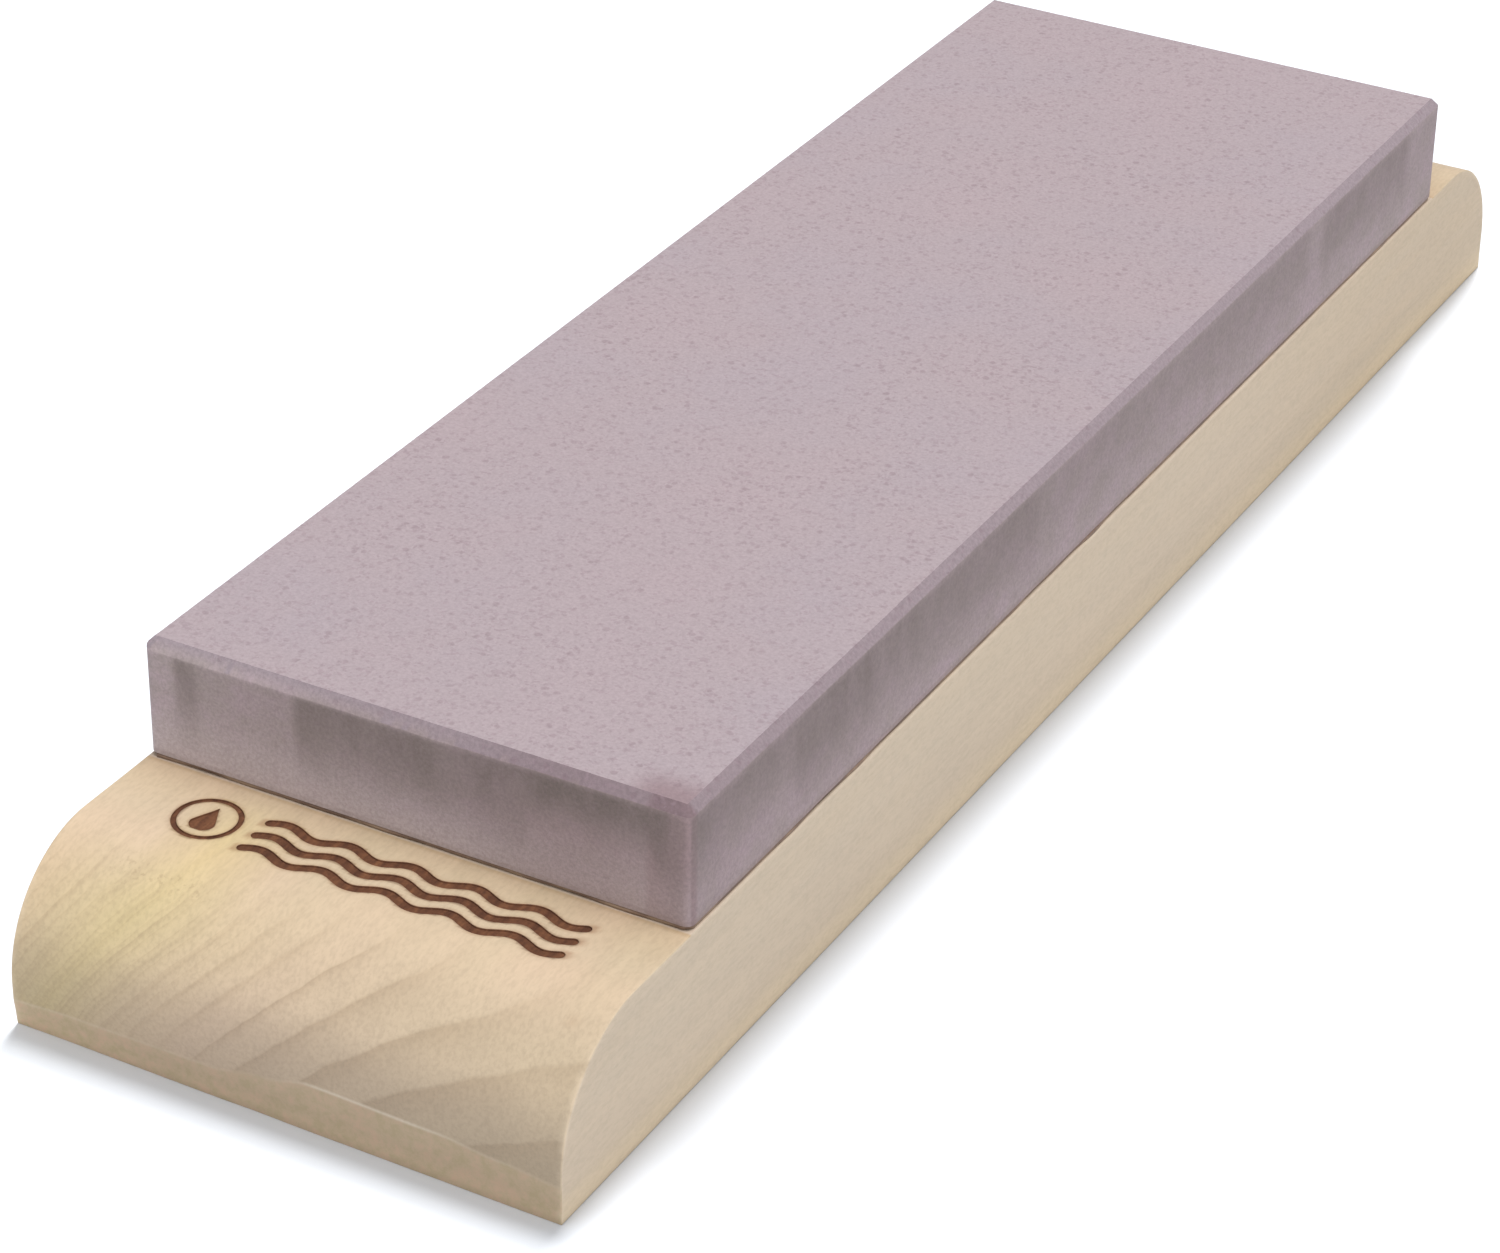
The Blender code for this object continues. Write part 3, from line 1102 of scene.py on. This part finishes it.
def stain_band(bands, blur, position, depth):
    """Return the bands' darkness here; depth is below the chamfer, in millimetres."""
    total = 0.0
    for start, end, reach, strength in bands:
        inside = smoothstep(position, start - blur, start + blur)
        inside *= 1.0 - smoothstep(position, end - blur, end + blur)
        fade = 1.0 - smoothstep(depth, reach * 0.15, reach * 1.5)
        total += strength * inside * fade
    return min(total, STAIN_LIMIT)


def stain_at(place):
    """Return how stained the stone is here."""
    depth = (STONE_HIGH.z - STONE_CHAMFER - place.z) / MILLI
    if depth < -0.5:
        return 0.0
    edge = smoothstep(depth, -0.3, 0.4)
    if place.y < STONE_LOW.y + FACE_TOLERANCE:
        drop = along(FRONT_DROP, place.x / MILLI)
        edge = smoothstep(depth, drop - 0.3, drop + 0.4)
        return edge * (0.12 + stain_band(FRONT_STAINS, FRONT_BLUR, place.x / MILLI, depth))
    if place.x > STONE_HIGH.x - FACE_TOLERANCE:
        return edge * (0.10 + stain_band(SIDE_STAINS, SIDE_BLUR, place.y / MILLI, depth))
    cloud = 0.5 + 0.5 * noise.noise(Vector((place.x * 60.0, place.y * 60.0, 5.0)))
    fade = 1.0 - smoothstep(depth, 2.0, 13.0)
    return edge * (0.12 + 0.65 * cloud * fade)


def rubbed_at(place):
    """Return how rubbed the working face is: only near its front right corner."""
    if place.z < STONE_HIGH.z - SURFACE_TOLERANCE:
        return 0.0
    across = smoothstep(place.x, *RUBBED_ACROSS)
    return across * (1.0 - smoothstep(place.y, *RUBBED_BACK))


def tint_at(place):
    """Return how far the stone is tinted here: more towards the front right corner."""
    if place.y > FRONT_ZONE:
        return along(FLANK_TINT, place.y / MILLI)
    return along(FRONT_TINT, place.x / MILLI)


def make_glue_line(glue):
    """Make the thin uneven line of glue between the stone and the base."""
    low, high = BASE_HIGH.z - GLUE_LAP, STONE_LOW.z + GLUE_LAP
    span_x = steps_between(STONE_LOW.x + GLUE_CORNER, STONE_HIGH.x - GLUE_CORNER, GLUE_STEP)
    span_y = steps_between(STONE_LOW.y + GLUE_CORNER, STONE_HIGH.y - GLUE_CORNER, GLUE_STEP)

    def wander(side, place):
        wave = noise.noise(Vector((place * 130.0, side * 9.0, 2.0)))
        return GLUE_INSET - GLUE_WANDER * wave

    outline = [(x, STONE_LOW.y, 0.0, 1.0, wander(0, x)) for x in span_x]
    outline += [(STONE_HIGH.x, y, -1.0, 0.0, wander(1, y)) for y in span_y]
    outline += [(x, STONE_HIGH.y, 0.0, -1.0, wander(2, x)) for x in reversed(span_x)]
    outline += [(STONE_LOW.x, y, 1.0, 0.0, wander(3, y)) for y in reversed(span_y)]
    vertices = []
    for share, back in GLUE_SECTION:
        for x, y, inward_x, inward_y, inset in outline:
            depth = inset + back * MILLI
            vertices.append((x + inward_x * depth, y + inward_y * depth, low + (high - low) * share))
    count, last = len(outline), len(GLUE_SECTION) - 1
    faces = []
    for k in range(last):
        faces += band(k * count, (k + 1) * count, count)
    faces += [tuple(range(count)), tuple(range(last * count, (last + 1) * count))]
    line = new_piece("glue_line", vertices, faces, [glue])
    close_shell(line, 60.0)
    stand_for(line, "adhesive_layer")


def make_floor(material):
    """Make the plain floor."""
    half = FLOOR_SIZE / 2.0
    height = BASE_LOW.z - FLOOR_DROP
    corners = [(-half, -half, height), (half, -half, height), (half, half, height), (-half, half, height)]
    floor = new_piece("floor", corners, [(0, 1, 2, 3)], [material])
    return floor


def direction_from(azimuth, elevation):
    """Return the direction towards a light: azimuth 0 is in front, at -Y, and 90 on the right."""
    turn, rise = math.radians(azimuth), math.radians(elevation)
    return Vector((math.sin(turn) * math.cos(rise), -math.cos(turn) * math.cos(rise), math.sin(rise)))


def light_set(name, piece, state):
    """Return a light-linking set that takes in only the piece (INCLUDE), or all but it (EXCLUDE)."""
    lit = bpy.data.collections.new(name)
    lit.objects.link(piece)
    lit.collection_objects[0].light_linking.link_state = state
    return lit


def add_sun(name, power, towards, spread, lit):
    """Add a broad distant light that shines on the pieces of a light-linking set."""
    light = bpy.data.lights.new(name, "SUN")
    light.energy = power
    light.angle = math.radians(spread)
    lamp = bpy.data.objects.new(name, light)
    lamp.rotation_mode = "QUATERNION"
    lamp.rotation_quaternion = towards.to_track_quat("Z", "Y")
    lamp.location = towards
    lamp.light_linking.receiver_collection = lit
    bpy.context.scene.collection.objects.link(lamp)


def make_light(floor):
    """Make the sky, the object's soft key, and the floor's strip light that leaves a narrow shadow."""
    world = bpy.data.worlds.new("sky")
    world.use_nodes = True
    tree = world.node_tree
    tree.nodes.clear()
    output = tree.nodes.new("ShaderNodeOutputWorld")
    lit, seen = tree.nodes.new("ShaderNodeBackground"), tree.nodes.new("ShaderNodeBackground")
    for background, strength in ((lit, SKY_LIGHT), (seen, 1.0)):
        background.inputs["Color"].default_value = WHITE
        background.inputs["Strength"].default_value = strength
    path, blend = tree.nodes.new("ShaderNodeLightPath"), tree.nodes.new("ShaderNodeMixShader")
    tree.links.new(path.outputs["Is Camera Ray"], blend.inputs[0])
    tree.links.new(lit.outputs[0], blend.inputs[1])
    tree.links.new(seen.outputs[0], blend.inputs[2])
    tree.links.new(blend.outputs[0], output.inputs["Surface"])
    bpy.context.scene.world = world
    pieces_only = light_set("pieces_only", floor, "EXCLUDE")
    floor_only = light_set("floor_only", floor, "INCLUDE")
    add_sun("key", KEY_POWER, direction_from(*KEY_DIRECTION), KEY_SPREAD, pieces_only)
    add_sun("fill", FILL_POWER, direction_from(*FILL_DIRECTION), FILL_SPREAD, pieces_only)
    add_sun("floor_fill", FLOOR_FILL_POWER, direction_from(*FLOOR_FILL_DIRECTION), FILL_SPREAD, floor_only)
    for height in STRIP_HEIGHTS:
        towards = direction_from(180.0, height)
        towards.x = -towards.z * math.tan(math.radians(STRIP_LEAN))
        add_sun("strip", STRIP_POWER, towards.normalized(), STRIP_SPREAD, floor_only)


def make_camera():
    """Make the camera at the photograph's place."""
    camera = bpy.data.objects.new("camera", bpy.data.cameras.new("camera"))
    bpy.context.scene.collection.objects.link(camera)
    camera.data.sensor_fit = "HORIZONTAL"
    camera.data.sensor_width = SENSOR_WIDTH
    camera.data.lens = CAMERA_LENS
    camera.data.clip_start = 0.01
    camera.data.clip_end = 100.0
    azimuth, roll = math.radians(CAMERA_AZIMUTH), math.radians(CAMERA_ROLL)
    back = direction_from(CAMERA_AZIMUTH, CAMERA_ELEVATION)
    right = Vector((math.cos(azimuth), math.sin(azimuth), 0.0))
    up = back.cross(right)
    turned_right = right * math.cos(roll) + up * math.sin(roll)
    turned_up = up * math.cos(roll) - right * math.sin(roll)
    turn = Matrix((turned_right, turned_up, back)).transposed().to_4x4()
    camera.matrix_world = Matrix.Translation(CAMERA_PLACE) @ turn
    bpy.context.scene.camera = camera


bpy.context.scene.view_settings.view_transform = "Standard"
make_camera()
make_light(make_floor(make_floor_material()))
make_base(make_wood(), make_burn())
make_stone(make_ceramic())
make_glue_line(make_glue())
